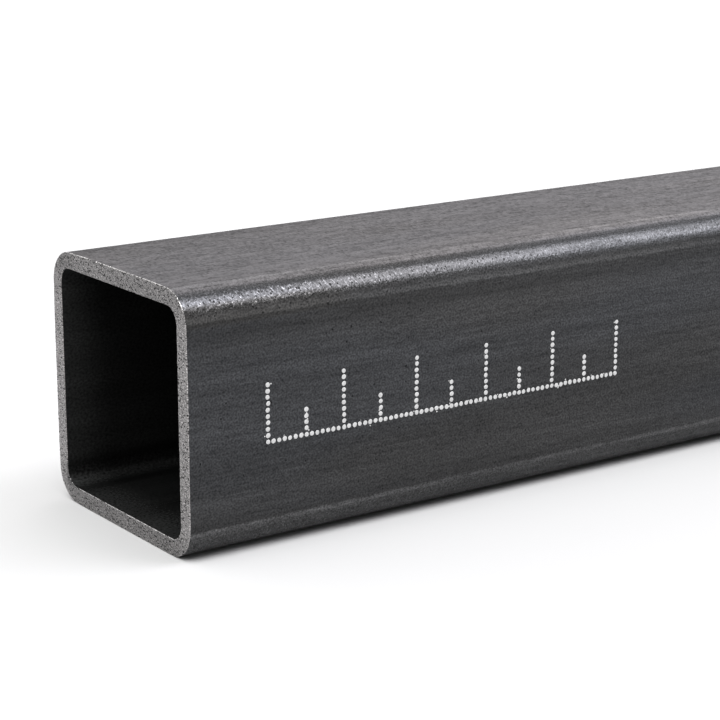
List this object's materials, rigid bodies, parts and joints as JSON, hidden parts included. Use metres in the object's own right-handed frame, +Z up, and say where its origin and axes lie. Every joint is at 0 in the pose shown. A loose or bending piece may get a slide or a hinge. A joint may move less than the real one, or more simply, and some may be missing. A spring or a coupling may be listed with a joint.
{
  "type": "square steel hollow section",
  "caption": "Straight length of cold-formed square steel tube with rounded corners, an open square bore and plain saw-cut ends, lying on one flat.",
  "frame": {"origin": "on the floor, at the middle of the flat that the tube lies on, half way along its length", "axes": "+X along the length, from the cut end that the picture shows towards the far end; +Y across, away from the side that the picture shows; +Z up, out of the top flat"},
  "size_m": [1, 0.03, 0.03],
  "materials": {
    "black_steel": "satin",
    "marking_ink": "matte"
  },
  "bodies": {
    "root": {"square_tube": "black_steel"}
  },
  "joints": []
}
